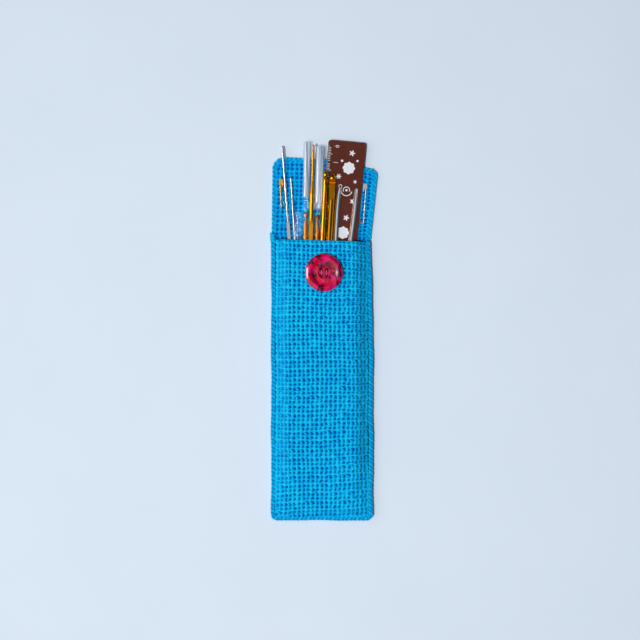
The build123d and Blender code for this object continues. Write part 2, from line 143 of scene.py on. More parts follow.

# Flap cloth: its grid, its inset under the border, its stitches, rows, lean and sway, its top and
# underside, the underside's relief, its least thickness and its highest crown, a share that dims its
# painted highlights and deepens its painted shade
flap_grid = (140, 158)
flap_inset = 0.55
flap_stitches = 22
flap_rows = 19.5
flap_lean = 0.12
flap_stitch_sway = (0.07, 5)
flap_row_sway = (0.08, 6)
flap_face = fabric - 0.12
flap_under = 0.25
under_relief = 0.7
flap_least = 0.5
flap_crown = 0.88

# Round the buttonhole: how near a point is drawn onto its outline, the least relief there and
# how far the two faces close in, each with its reach
snap_reach = 0.24
hole_relief = (0.35, 1.2)
rim_sink = (0.75, 0.9)

# Button: its seat and size, the rounds of its foot and rim by half width and height, its crest,
# and how softly it runs out into the dish
button_middle = (1.2, -21.0)
button_seat = 14.1
button_radius = 11.5
button_height = 4.4
button_dish = 1.2
button_sides = 128
foot_round = (3.2, 1.9)
rim_round = (0.8, 1.2)
rim_height = 2.6
rim_turn = 1.1
crest_inset = 2.3
crest_lift = 0.09
crest_slope = 0.458
crest_round = 0.22
dish_round = 0.2
dish_points = 96

# Its eye, the ring round it by height, offset and width, and the four holes
eye_radius = 3.5
eye_depth = 0.9
eye_wall = 0.55
eye_ring = (0.22, 0.45, 0.42)
hole_half = 1.45
hole_radius = 0.95
hole_depth = 1.7
hole_rim = 0.1
hole_wall = 0.35

# Its thread: radius, points along it, lift and arch over the eye's floor, and where along its
# half length and how steeply it dives into the holes
thread_radius = 0.30
thread_points = 31
thread_lift = 0.42
thread_arch = 0.25
thread_overrun = 1.12
thread_dive = (0.86, 15.4)
# The crown share of round threads and of the knot, which gives them an even part of the painted highlight all
# over
wound_crown = 0.85

# Safety pins: foot, lean, length, wire radius, coil radius, half of the head, side of the stem.
# Both share: gap over the fabric, gap between turns, run under the cap, rise before it, end
brass_pin = ((-24.15, 19.8), -0.07, 17.6, 0.38, 0.8, 0.6, -1)
steel_pin = ((24.75, 10.9), 0.084, 23.6, 0.4, 1.05, 0.65, 1)
pin_gap = 0.3
coil_gap = 0.8
cap_run = 4.3
rise_run = 4.2
pin_end = 0.5

# Ruler: where its axis crosses the mouth, its slope, its top, width and top face, bevelled edge,
# scale, with the lengths of its marks at tens, at fives and between, digits and ink
ruler_line = (10.1, 0.093)
ruler_top = 60.3
ruler_width = 23.2
ruler_face = 4.05
bevel_width = 3.0
bevel_slope = 0.2
first_mark = 3.6
scale_length = 150
mark_half = 0.13
mark_inset = 0.25
mark_lengths = (4.2, 3.1, 2.0)
digit_size = 3.3
digit_inset = 4.7
ink_thickness = 0.04
ink_depth = 0.02

# The knot at the mouth's left corner
knot_middle = (-30.2, 0.9, 3.3)
knot_turns = 2.6
knot_half = (0.85, 1.15)
knot_length = 4.6
knot_lean = 0.2
knot_yarn = 1.0

# Camera, straight above, the lamps' places, sizes and power, and the table, in metres and watts
view_middle = (-0.0012, -0.0498)
camera_height = 0.906
camera_lens = 82.3
light_target = (0, -0.05, 0)
key_place = (-0.29, -0.24, 1.48)
key_size = (0.06, 0.06)
key_power = 16.8
window_place = (-1.1, -0.02, 0.95)
window_size = (0.70, 0.16)
window_power = 6.5
table_half = 3.0
table_height = -0.0006

# Sky: the way it is brightest, and between which shares of that way it brightens
sky_towards = (-0.52, -0.10, 0.85)
sky_span = (0.64, 0.98)

rng = np.random.default_rng(7)
jitter_cells = 97
cell_jitter = rng.normal(0, 1, (4, jitter_cells, jitter_cells))


def smooth(x):
    """0 below 0, 1 above 1, and 3x^2 - 2x^3 between."""
    x = np.clip(x, 0, 1)
    return x * x * (3 - 2 * x)


def add_object(name, data):
    """An object with that data, at the origin."""
    obj = bpy.data.objects.new(name, data)
    bpy.context.scene.collection.objects.link(obj)
    return obj


def add_piece(
    name, points, faces, material, body, smooth_faces=True, replaced=(), uv=None, values=None
):
    """One closed mesh from points in millimetres. Its faces are turned to point outwards,
    which the sign of the volume under them tells."""
    points = np.asarray(points, float) * mm
    mesh = bpy.data.meshes.new(name)
    corners = [np.asarray(f) for f in faces]
    volume = 0.0
    for f in corners:
        a = points[f[..., 0]]
        for k in range(1, f.shape[-1] - 1):
            b, c = points[f[..., k]], points[f[..., k + 1]]
            volume += np.sum(np.cross(a, b) * c)
    lists = []
    for f in corners:
        f = np.atleast_2d(f)
        lists += (f[:, ::-1] if volume < 0 else f).tolist()
    mesh.from_pydata(points.tolist(), [], lists)
    if smooth_faces:
        mesh.shade_smooth()
    if uv is not None:
        layer = mesh.uv_layers.new(name="yarn")
        order = np.empty(len(mesh.loops), int)
        mesh.loops.foreach_get("vertex_index", order)
        layer.data.foreach_set("uv", np.asarray(uv, float)[order].ravel())
    if values is not None:
        data = mesh.attributes.new("crown", "FLOAT", "POINT")
        data.data.foreach_set("value", np.asarray(values, float))
    mesh.materials.append(material)
    obj = add_object(name, mesh)
    if replaced:
        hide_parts(*replaced)
    if body:
        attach(obj, body)
    return obj


def grid_shares(rows, columns, first=-1.0):
    """Shares down a grid's rows, from 0 to 1, and across its columns, from first to 1."""
    return np.meshgrid(np.linspace(0, 1, rows), np.linspace(first, 1, columns), indexing="ij")


def turns(sides):
    """Angles round a full turn."""
    return np.linspace(0, 2 * pi, sides, endpoint=False)


def directions(path):
    """The direction of a path at each of its points."""
    way = np.gradient(path, axis=0)
    return way / np.linalg.norm(way, axis=1)[:, None]


def pairs(a, b):
    """Two grids as one list of pairs."""
    return np.stack([a, b], -1).reshape(-1, 2)


def grid_faces(rows, columns, loop_columns=False):
    """Quads of a grid of rows by columns, whose rows may close on themselves."""
    r = np.arange(rows - 1)
    c = np.arange(columns if loop_columns else columns - 1)
    r, c = np.meshgrid(r, c, indexing="ij")
    r2, c2 = r + 1, (c + 1) % columns
    quads = np.stack([r * columns + c, r * columns + c2, r2 * columns + c2, r2 * columns + c], -1)
    return quads.reshape(-1, 4)


def loop_faces(rows, columns):
    """Rings of points joined row to row, with one flat face on the first and the last ring."""
    first = np.arange(columns)[None, ::-1]
    last = np.arange(columns)[None, :] + (rows - 1) * columns
    return [grid_faces(rows, columns, loop_columns=True), first, last]


def tube(path, radius, sides):
    """A closed round tube of rings along a path, each turned as little as possible from the
    last."""
    path = np.asarray(path, float)
    way = directions(path)
    side = np.cross(way[0], (0.0, 0.3, 1.0))
    frames = []
    for w in way:
        side = side - w * np.dot(side, w)
        side = side / np.linalg.norm(side)
        frames.append(side)
    side = np.array(frames)
    up = np.cross(way, side)
    angle = turns(sides)
    ring = side[:, None] * np.cos(angle)[None, :, None] + up[:, None] * np.sin(angle)[None, :, None]
    points = path[:, None] + ring * radius
    return points.reshape(-1, 3), loop_faces(len(path), sides)


# Strands of one stitch in its cell: start, end, radius and lift, for the rows whose front faces
# out and for those whose back does
front_strands = [
    (0.34, -0.12, 0.44, 0.60, 0.21, -0.03),
    (0.70, -0.12, 0.60, 0.60, 0.20, -0.05),
    (-0.10, 0.72, 1.10, 0.88, 0.25, 0.01),
]
back_strands = [
    (0.20, 0.02, 0.74, 0.40, 0.22, 0.02),
    (0.78, 0.34, 0.36, 0.68, 0.20, 0.00),
    (-0.10, 0.82, 1.10, 0.94, 0.23, -0.02),
]
pit = -0.36
crest = 0.36
strand_wobble = 0.05
fat_wobble = 0.10
strand_arch = 0.14


def stitch_relief(s, t, lean):
    """Height of single crochet at stitch s and row t, in cells. Every strand is a round bar, and
    the highest one shows. Gives the height, its share of the full height, from which the yarn takes
    its painted shade and highlight, and the place along and across the strand that shows."""
    best = np.full(s.shape, pit)
    along = np.zeros(s.shape)
    across = np.zeros(s.shape)
    i0, j0 = np.floor(s).astype(int), np.floor(t).astype(int)
    for dj in (-1, 0, 1):
        for di in (-1, 0, 1):
            i, j = i0 + di, j0 + dj
            wobble = cell_jitter[:, j % jitter_cells, i % jitter_cells]
            x = s - i + strand_wobble * wobble[0]
            y = t - j + strand_wobble * wobble[1]
            for parity, strands in ((0, front_strands), (1, back_strands)):
                here = (j % 2) == parity
                for x0, y0, x1, y1, radius, lift in strands:
                    dx, dy = x1 - x0 - lean * (y1 - y0), y1 - y0
                    length2 = dx * dx + dy * dy
                    k = np.clip(((x - x0) * dx + (y - y0) * dy) / length2, 0, 1)
                    off_x, off_y = x - x0 - k * dx, y - y0 - k * dy
                    d2 = off_x ** 2 + off_y ** 2
                    fat = radius * (1 + fat_wobble * wobble[2])
                    bow = lift + strand_arch * np.sin(pi * k) ** 2
                    rise = np.sqrt(np.maximum(fat ** 2 - d2, 0)) + bow
                    rise = np.where((d2 < fat ** 2) & here, rise, -1.0)
                    wins = rise > best
                    best = np.where(wins, rise, best)
                    along = np.where(wins, k * np.sqrt(length2), along)
                    turn = np.sign(off_x * dy - off_y * dx)
                    across = np.where(wins, turn * np.sqrt(d2) / fat, across)
    share = np.clip((best - pit) / (crest - pit), 0, 1)
    return best - crest, share, along, across


# Strands round a border, in stitches: lean, square of the half width, rise, how much lower every
# other one is, the line where two meet, by place, width and depth, relief and least crown, the share
# that sets how dark the painted shade between the strands goes
edge_lean = 0.5
edge_half_squared = 0.26
edge_rise = 0.51
edge_lower = 0.12
edge_line = (0.2, 0.2, 0.22)
edge_height = 0.65
edge_crown = 0.25


def edge_relief(distance, angle, pitch):
    """Height of the slanted strands that wrap a border: round bars across it, one a stitch, with
    a low line along the middle where two strands of a stitch meet. Also gives the crown share, from
    which the yarn takes its painted shade and highlight, and the yarn's place."""
    phase = distance / pitch + edge_lean * np.cos(angle)
    number = np.floor(phase)
    away = phase - number - 0.5
    bar = np.sqrt(np.maximum(edge_half_squared - away ** 2, 0.0)) / edge_rise
    place, width, depth = edge_line
    lower = edge_lower * (number % 2) + depth * np.exp(-((np.cos(angle) - place) / width) ** 2)
    share = np.clip(bar - lower, 0, 1)
    return (share - 1) * edge_height, edge_crown + (1 - edge_crown) * share, phase * 0.9, away * 2


# Materials
def set_sockets(node, values):
    """Sets a node's sockets to plain numbers and colours."""
    for socket, value in values.items():
        node.inputs[socket.replace("_", " ")].default_value = value


def new_material(name, **values):
    """A material with a Principled surface, and that surface's own values."""
    material = bpy.data.materials.new(name)
    material.use_nodes = True
    shader = material.node_tree.nodes["Principled BSDF"]
    set_sockets(shader, values)
    return material, material.node_tree, shader


def new_group(name, colours, number):
    """A node group from those colours and a number to a colour, a roughness and a height, and its
    own input and output nodes."""
    group = bpy.data.node_groups.new(name, "ShaderNodeTree")
    sockets = [(label, "INPUT", "NodeSocketColor") for label in colours]
    sockets += [(number, "INPUT", "NodeSocketFloat"), ("Colour", "OUTPUT", "NodeSocketColor")]
    sockets += [(label, "OUTPUT", "NodeSocketFloat") for label in ("Roughness", "Height")]
    for label, side, kind in sockets:
        group.interface.new_socket(label, in_out=side, socket_type=kind)
    return group, group.nodes.new("NodeGroupInput"), group.nodes.new("NodeGroupOutput")


def new_node(tree, kind, **values):
    """A node of that kind with its own values."""
    node = tree.nodes.new(kind)
    set_sockets(node, values)
    return node


def paint(tree, shader, colour, roughness=None):
    """Links a surface's colour and, where it varies, its roughness."""
    tree.links.new(colour, shader.inputs["Base Color"])
    if roughness is not None:
        tree.links.new(roughness, shader.inputs["Roughness"])


def use_group(tree, group, shader, **values):
    """Paints a surface by a node group with its own values. Gives the group's height."""
    node = tree.nodes.new("ShaderNodeGroup")
    node.node_tree = group
    set_sockets(node, values)
    paint(tree, shader, node.outputs["Colour"], node.outputs["Roughness"])
    return node.outputs["Height"]


def feed(tree, socket, value):
    """Sets a socket to a plain number or colour, or links it to another node's socket."""
    if isinstance(value, (int, float, tuple)):
        socket.default_value = value
    else:
        tree.links.new(value, socket)


def maths(tree, kind, *values):
    """A Math node on sockets or numbers."""
    node = tree.nodes.new("ShaderNodeMath")
    node.operation = kind
    for socket, value in zip(node.inputs, values):
        feed(tree, socket, value)
    return node.outputs[0]


def between(tree, value, low, high):
    """0 where the value is below low, 1 above high, and straight between."""
    node = new_node(tree, "ShaderNodeMapRange", From_Min=low, From_Max=high)
    tree.links.new(value, node.inputs["Value"])
    return node.outputs[0]


def mix(tree, factor, a, b):
    """A colour mix of two colours or sockets."""
    node = tree.nodes.new("ShaderNodeMix")
    node.data_type = "RGBA"
    for number, value in ((0, factor), (6, a), (7, b)):
        feed(tree, node.inputs[number], value)
    return node.outputs[2]


def noise_from(tree, scale, detail, stretch=(1, 1, 1), swirl=0.0):
    """Noise on object coordinates, per metre, stretched by an axis scale, and swirled."""
    where = tree.nodes.new("ShaderNodeTexCoord").outputs["Object"]
    place = new_node(tree, "ShaderNodeMapping", Scale=stretch)
    tree.links.new(where, place.inputs["Vector"])
    node = new_node(tree, "ShaderNodeTexNoise", Scale=scale, Detail=detail, Distortion=swirl)
    tree.links.new(place.outputs[0], node.inputs["Vector"])
    return node.outputs["Fac"]


def twisted_yarn_group():
    """Plied cotton. Each strand runs from its deep colour low in the cloth, a painted shade, to its
    bright one on its crown, a painted highlight, with slanted plies whose furrows take painted
    shade too, fine fibres and a slow change of tone at random over it."""
    tree, start, end = new_group("twisted yarn", ("Bright", "Yarn", "Deep"), "Plies")
    uv = tree.nodes.new("ShaderNodeUVMap")
    uv.uv_map = "yarn"
    apart = tree.nodes.new("ShaderNodeSeparateXYZ")
    tree.links.new(uv.outputs[0], apart.inputs[0])
    twist = maths(tree, "MULTIPLY", apart.outputs["X"], start.outputs["Plies"])
    slant = maths(tree, "MULTIPLY", apart.outputs["Y"], 0.55)
    wound = maths(tree, "MULTIPLY", maths(tree, "ADD", twist, slant), 2 * pi)
    ply = maths(tree, "MULTIPLY_ADD", maths(tree, "SINE", wound), 0.5, 0.5)
    fibre = noise_from(tree, 2600, 4.0, (1, 2.2, 1))
    shade = noise_from(tree, 45, 2.0)
    crown = tree.nodes.new("ShaderNodeAttribute")
    crown.attribute_name = "crown"
    # Painted shade where the cloth is low, and painted highlight broken by fibres on its crowns, from the
    # crown share
    low = between(tree, crown.outputs["Fac"], 0.22, 0.66)
    high = between(tree, crown.outputs["Fac"], 0.74, 0.98)
    fuzz = maths(tree, "MULTIPLY_ADD", fibre, 0.9, 0.25)
    lit = maths(tree, "MULTIPLY", high, fuzz)
    body = mix(tree, low, start.outputs["Deep"], start.outputs["Yarn"])
    top = mix(tree, lit, body, start.outputs["Bright"])
    # Painted shade in the furrows between the plies
    furrow = maths(tree, "MULTIPLY_ADD", ply, -0.22, 0.22)
    lined = mix(tree, furrow, top, start.outputs["Deep"])
    slow = mix(tree, maths(tree, "MULTIPLY", shade, 0.16), lined, start.outputs["Deep"])
    tree.links.new(slow, end.inputs["Colour"])
    tree.links.new(maths(tree, "MULTIPLY_ADD", fibre, 0.25, 0.32), end.inputs["Roughness"])
    half_fibre = maths(tree, "MULTIPLY", fibre, 0.5)
    tree.links.new(maths(tree, "MULTIPLY_ADD", ply, 0.75, half_fibre), end.inputs["Height"])
    return tree


def worn_metal_group():
    """Drawn metal: fine lines along its length and soft smudges."""
    tree, start, end = new_group("drawn metal", ("Metal", "Shaded"), "Gloss")
    lines = noise_from(tree, 1500, 3.0, (1, 0.04, 1))
    smudge = noise_from(tree, 120, 3.0)
    factor = maths(tree, "MULTIPLY", smudge, 0.55)
    smudged = mix(tree, factor, start.outputs["Metal"], start.outputs["Shaded"])
    tree.links.new(smudged, end.inputs["Colour"])
    spread = maths(tree, "MULTIPLY", maths(tree, "ADD", lines, smudge), 0.06)
    tree.links.new(maths(tree, "ADD", spread, start.outputs["Gloss"]), end.inputs["Roughness"])
    tree.links.new(lines, end.inputs["Height"])
    return tree


twisted_yarn = twisted_yarn_group()
drawn_metal = worn_metal_group()


def bump(tree, height, shader, strength, distance):
    """A bump of that height, in metres, on the shader's normal."""
    node = new_node(tree, "ShaderNodeBump", Strength=strength, Distance=distance)
    tree.links.new(height, node.inputs["Height"])
    tree.links.new(node.outputs[0], shader.inputs["Normal"])


def yarn_material(name, bright, yarn, deep, plies):
    """Plied cotton of one colour, with painted shade low in the cloth and painted highlights on its crowns.
    """
    material, tree, shader = new_material(name, Specular_IOR_Level=0.1)
    height = use_group(tree, twisted_yarn, shader, Bright=bright, Yarn=yarn, Deep=deep, Plies=plies)
    bump(tree, height, shader, 0.7, 0.00022)
    return material


def metal_material(name, metal, shaded, gloss):
    """Drawn and polished metal of one colour."""
    material, tree, shader = new_material(name, Metallic=1.0)
    height = use_group(tree, drawn_metal, shader, Metal=metal, Shaded=shaded, Gloss=gloss)
    bump(tree, height, shader, 0.1, 0.00001)
    return material


def clear_plastic(name, milk, gloss, pale, shaded, streak_size):
    """Plastic drawn into a tube, with streaks along it. Milk is the share that scatters light
    instead of letting it through, and lamps shine through most of it."""
    material, tree, shader = new_material(
        name, Transmission_Weight=1 - milk, IOR=1.12, Coat_Weight=gloss, Coat_Roughness=0.03,
    )
    streak = noise_from(tree, streak_size, 3.0, (1, 0.03, 1))
    seen = between(tree, streak, 0.38, 0.62)
    colour = mix(tree, seen, pale, shaded)
    paint(tree, shader, colour, maths(tree, "MULTIPLY", streak, 0.08))
    shadow = tree.nodes.new("ShaderNodeLightPath").outputs["Is Shadow Ray"]
    tree.links.new(maths(tree, "MULTIPLY_ADD", shadow, -0.75, 1.0), shader.inputs["Alpha"])
    return material


def button_resin():
    """Marbled red resin: crimson with pinker clouds and dark veins, under a hard gloss. Its upper right
    is smoky: dark marbling there, which also stands for the shade on the side away from the light, a
    painted shade. Down its holes and round its foot it is painted dark, a painted shade in its hollows
    and where it sits on the cloth."""
    material, tree, shader = new_material(
        "marbled button resin", Roughness=0.16, Specular_IOR_Level=0.2,
        Coat_Weight=0.6, Coat_Roughness=0.07,
    )
    warp = noise_from(tree, 150, 2.0)
    cloud = noise_from(tree, 230, 5.0, (1, 1, 0.6))
    vein = noise_from(tree, 130, 5.0, (1.3, 0.9, 1), 2.2)
    pink = between(tree, cloud, 0.42, 0.68)
    red = mix(tree, pink, (0.52, 0.0, 0.022, 1), (0.78, 0.006, 0.21, 1))
    veined = mix(tree, between(tree, vein, 0.50, 0.60), red, (0.04, 0.0, 0.012, 1))
    slow = between(tree, warp, 0.45, 0.70)
    darker = mix(tree, maths(tree, "MULTIPLY", slow, 0.6), veined, (0.22, 0.0, 0.02, 1))
    apart = tree.nodes.new("ShaderNodeSeparateXYZ")
    tree.links.new(tree.nodes.new("ShaderNodeTexCoord").outputs["Object"], apart.inputs[0])
    # Painted shade with smoky marbling: the upper right side darkens in smoky clouds
    aside = maths(tree, "MULTIPLY", apart.outputs["X"], 0.65)
    corner = maths(tree, "ADD", apart.outputs["Y"], aside)
    reach = between(tree, corner, -0.0190, -0.0110)
    smoke = noise_from(tree, 190, 4.0, (1, 1, 1), 1.6)
    upper_right_shade = maths(tree, "MULTIPLY", reach, between(tree, smoke, 0.46, 0.60))
    smoky = mix(tree, upper_right_shade, darker, (0.06, 0.0, 0.018, 1))
    # Painted shade: the low parts, down the holes and round the foot, turn dark
    lit = between(tree, apart.outputs["Z"], 0.0150, 0.0162)
    paint(tree, shader, mix(tree, lit, (0.07, 0.0, 0.012, 1), smoky))
    bump(tree, cloud, shader, 0.1, 0.00005)
    return material


def ruler_plastic():
    """Dark brown lacquered plastic with faint streaks."""
    material, tree, shader = new_material("brown ruler plastic", Specular_IOR_Level=0.1)
    streak = noise_from(tree, 220, 4.0, (1, 0.15, 1))
    brown = mix(tree, streak, (0.082, 0.018, 0.011, 1), (0.102, 0.026, 0.016, 1))
    paint(tree, shader, brown, maths(tree, "MULTIPLY_ADD", streak, 0.15, 0.12))
    return material


def ruler_print():
    """Pale grey ink, a little uneven."""
    material, tree, shader = new_material("ruler ink", Roughness=0.6)
    uneven = noise_from(tree, 1200, 3.0)
    paint(tree, shader, mix(tree, uneven, (0.80, 0.82, 0.84, 1), (0.62, 0.65, 0.68, 1)))
    return material


def table_top():
    """Pale bluish table: a barely uneven paint."""
    material, tree, shader = new_material("pale table", Roughness=0.65, Specular_IOR_Level=0.2)
    uneven = noise_from(tree, 14, 3.0)
    paint(tree, shader, mix(tree, uneven, (0.63, 0.71, 0.795, 1), (0.67, 0.75, 0.835, 1)))
    return material


# Each yarn: its painted highlight colour, its own colour, its painted shade colour, and its plies' count
cotton = yarn_material(
    "turquoise cotton", (0.01, 0.86, 1.0, 1), (0.0, 0.385, 0.90, 1), (0.0, 0.085, 0.38, 1), 5.0,
)
red_thread = yarn_material(
    "red sewing thread", (1.0, 0.22, 0.48, 1), (0.90, 0.06, 0.24, 1), (0.35, 0.0, 0.05, 1), 3.0,
)
steel = metal_material("nickelled steel", (0.68, 0.69, 0.72, 1), (0.42, 0.43, 0.46, 1), 0.08)
pin_steel = metal_material("pin steel", (0.78, 0.79, 0.80, 1), (0.45, 0.46, 0.48, 1), 0.12)
tweezers_steel = metal_material("tweezers steel", (0.92, 0.95, 1.0, 1), (0.66, 0.69, 0.75, 1), 0.14)
gold = metal_material("gold anodised aluminium", (1.0, 0.43, 0.005, 1), (0.55, 0.16, 0.0, 1), 0.12)
brass = metal_material("pin brass", (1.0, 0.60, 0.14, 1), (0.66, 0.33, 0.05, 1), 0.14)
tube_plastic = clear_plastic("clear tube plastic", 0.0, 0.7, (1.0, 1.0, 1.0, 1), (0.88, 0.93, 0.97, 1), 700)
cap_plastic = clear_plastic("milky cap plastic", 0.50, 1.0, (0.90, 0.93, 0.97, 1), (0.24, 0.33, 0.44, 1), 620)
resin = button_resin()
brown_plastic = ruler_plastic()
ink = ruler_print()


def dress(names, material):
    """Gives built parts their finish."""
    for name in names:
        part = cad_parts[name]
        part.data.materials.clear()
        part.data.materials.append(material)


# Crocheted panels
def row_end(rows, length, depth):
    """How far the two faces of a cloth close in over each other near its ends: a round lip."""
    away = np.clip(1 - rows * length / depth, 0, 0.93)
    return depth * (1 - np.sqrt(1 - away ** 2))


def surface_normals(points):
    """Unit normals of a grid of points, from its steps along rows and columns."""
    down = np.gradient(points, axis=0)
    over = np.gradient(points, axis=1)
    normal = np.cross(over, down)
    return normal / np.linalg.norm(normal, axis=-1)[..., None]


def crocheted_shell(name, face, back, s, t, lean, depth, node, facing):
    """A closed panel of crochet, of two grids of points with as many rows: every row is a ring
    over the face, which carries the stitches, and back. depth is how much of the relief shows, and
    of the painted shade in its hollows, and facing the sign that turns the face's normals outwards.
    The back takes the inner crown share, a painted part shade."""
    rows, columns = face.shape[:2]
    height, share, along, across = stitch_relief(s, t, lean)
    height, share = height * depth, 1 - (1 - share) * depth
    raised = face + surface_normals(face) * (facing * height * yarn_relief * row_pitch)[..., None]
    rings = np.concatenate([raised, back[:, ::-1]], axis=1)
    spare = np.zeros(back.shape[:2])
    uv = pairs(np.concatenate([along, spare], 1), np.concatenate([across, spare], 1))
    # The inner sheet takes the inner crown share: a painted part shade
    shares = np.concatenate([share, spare + inner_crown], 1)
    add_piece(
        name, rings.reshape(-1, 3), loop_faces(rows, rings.shape[1]), cotton, "pouch",
        replaced=(node,), uv=uv, values=shares.ravel(),
    )


def roof_at(y):
    """The height of the front's top: full to the taper, then down to the foot."""
    fall = smooth((taper_start - y) / (taper_start - taper_end))
    foot = smooth((y - panel_foot) / foot_rise)
    low = seam_height + (low_roof - seam_height) * foot
    return front_roof + (low - front_roof) * fall


def front_rise(x, inset):
    """How far the front has risen at x, from 0 at a seam that is set in to 1 across its middle."""
    reach = np.clip((panel_half - inset - abs(x)) / stuffing_reach, 0, 1)
    return np.sin(reach * pi / 2) ** stuffing_power


def front_sheet(rows, columns, inset):
    """A sheet of the front: the shares across and down it, and its X and Y from the mouth down."""
    v, u = grid_shares(rows, columns)
    mouth = -mouth_drop * (u + 1) / 2
    return u, v, u * (panel_half - inset), mouth + (panel_foot - mouth) * v


def front_panel():
    """The stuffed front: flat across its middle, and rounding down to the seams by a sine. Its
    stitches are counted along each row from the middle, more closely where the cloth slopes."""
    rows = int(-panel_foot / row_pitch * strand_samples)
    columns = int(2 * panel_half / stitch_pitch * strand_samples)
    u, v, x, y = front_sheet(rows, columns, 0)
    lip = row_end(v, -panel_foot, fabric / 2)
    z = seam_height + (roof_at(y) - seam_height) * front_rise(x, 0) - lip
    face = np.stack([x, y, z], -1)
    _, v2, x2, y2 = front_sheet(rows, inner_columns, inner_inset)
    lip2 = row_end(v2, -panel_foot, fabric / 2)
    z2 = inner_seam + (roof_at(y2) - fabric - inner_seam) * front_rise(x2, inner_inset) + lip2
    under = np.stack([x2, y2, z2], -1)
    steps = np.hypot(np.diff(x, axis=1), slope_share * np.diff(z, axis=1))
    walked = np.concatenate([np.zeros((rows, 1)), np.cumsum(steps, axis=1)], axis=1)
    sway = stitch_sway[0] * np.sin(y / stitch_sway[1])
    s = (walked - walked[:, -1:] / 2) / stitch_pitch + middle_stitch + sway
    sway = row_sway[0] * np.sin(x / row_sway[1] + y / row_sway[2])
    t = v * (-panel_foot / row_pitch) + row_sag * u * v + sway
    lean = right_lean * smooth((u + lean_reach[0]) / lean_reach[1])
    depth = seam_relief + added_relief * smooth((panel_half - abs(x)) / added_reach)
    crocheted_shell("crocheted_front", face, under, s, t, lean, depth, "front_panel", -1)


def back_panel():
    """The flat back, whose stitches face the table."""
    rows = int(-panel_foot / row_pitch * back_samples)
    columns = int(2 * panel_half / stitch_pitch * back_samples)
    v, u = grid_shares(rows, columns)
    x, y = u * panel_half, panel_foot * v
    face = np.stack([x, y, back_face + row_end(v, -panel_foot, back_lip)], -1)
    v2, u2 = grid_shares(rows, back_inner_columns)
    z2 = fabric - back_slack - row_end(v2, -panel_foot, back_lip)
    top = np.stack([u2 * panel_half, panel_foot * v2, z2], -1)
    s = (x + panel_half) / stitch_pitch
    t = v * (-panel_foot / row_pitch)
    crocheted_shell("crocheted_back", face, top, s, t, back_lean, 1.0, "back_panel", 1)


def rounded_path(corners, radii, step):
    """Points every step along a line through corners, each rounded by an arc of its radius."""
    corners = np.asarray(corners, float)
    pieces = [corners[:1]]
    for before, corner, after, radius in zip(corners[:-2], corners[1:-1], corners[2:], radii):
        a = (before - corner) / np.linalg.norm(before - corner)
        b = (after - corner) / np.linalg.norm(after - corner)
        half = np.arccos(np.clip(np.dot(a, b), -1, 1)) / 2
        reach = radius / np.tan(half)
        k = np.linspace(0, 1, 25)[:, None]
        start, end = corner + a * reach, corner + b * reach
        middle = corner + (a + b) / np.linalg.norm(a + b) * radius / np.sin(half)
        arc = (start - middle) * (1 - k) + (end - middle) * k
        arc *= radius / np.linalg.norm(arc, axis=1)[:, None]
        pieces.append(middle + arc)
    pieces.append(corners[-1:])
    line = np.concatenate(pieces)
    length = np.concatenate([[0], np.cumsum(np.linalg.norm(np.diff(line, axis=0), axis=1))])
    marks = np.linspace(0, length[-1], int(length[-1] / step) + 1)
    return np.stack([np.interp(marks, length, line[:, 0]), np.interp(marks, length, line[:, 1])], -1), marks


def edging_piece(name, corners, radii, half_width, half_height, pitch, replaced, body, wave=0.0):
    """A crocheted border: a flat oval carried along a rounded line, wrapped by slanted strands,
    with its two ends rounded off. The line sways a little where it has a wave."""
    path, marks = rounded_path(corners, radii, border_step)
    way = directions(path)
    side = np.stack([way[:, 1], -way[:, 0]], -1)
    first, second = sway_lengths
    sway = np.sin(marks / first) + second_sway * np.sin(marks / second + 1)
    path = path + side * (wave * sway)[:, None]
    angle = turns(border_sides)
    across = np.sign(np.cos(angle)) * abs(np.cos(angle)) ** oval_power
    up = np.sign(np.sin(angle)) * abs(np.sin(angle)) ** oval_power
    distance, turn = np.meshgrid(marks, angle, indexing="ij")
    relief, share, along, over = edge_relief(distance, turn, pitch)
    end = np.minimum(marks, marks[-1] - marks)
    close = np.sqrt(1 - np.clip(1 - end / border_close, 0, 0.98) ** 2)[:, None]
    width = (half_width + relief) * close
    height = (half_height + relief * border_relief_up) * close
    xy = path[:, None] + side[:, None] * (across[None, :] * width)[..., None]
    z = half_height + up[None, :] * height
    points = np.concatenate([xy, z[..., None]], -1)
    uv = pairs(over * border_yarn[0], along * border_yarn[1])
    return add_piece(
        name, points.reshape(-1, 3), loop_faces(*points.shape[:2]), cotton, body,
        replaced=replaced, uv=uv, values=share.ravel(),
    )


def pouch_edging():
    """The border down the left side, round the foot and up the right side, which draws in
    towards the mouth."""
    foot = panel_foot - edging_overhang
    corners = [
        (-edging_middle, edging_tops[0]), (-edging_middle, foot), (edging_middle, foot),
        (edging_middle, mouth_pull_start), (edging_middle - mouth_pull, edging_tops[1]),
    ]
    radii = [foot_corner, foot_corner, mouth_pull_bend]
    edging_piece(
        "crocheted_edging", corners, radii, edging_half, seam_height / 2, stitch_pitch * edging_stitch,
        ("edging_left", "edging_right", "edging_foot"), "pouch", wave=edging_sway,
    )


# Flap
def flap_side(y, right):
    """Where the flap's side stands at the height y."""
    if right:
        heights = [flap_tuck[1], 0, flap_bulge_y, flap_top[2]]
        places = [flap_right[0] - flap_tuck[0], flap_right[0], flap_bulge, flap_right[1]]
        return np.interp(y, heights, places)
    return np.interp(y, [0, flap_top[0]], flap_left)


def flap_top_at(x):
    """The height of the flap's top edge at x."""
    return np.interp(x, [flap_left[1], flap_ridge_x, flap_right[1]], flap_top)


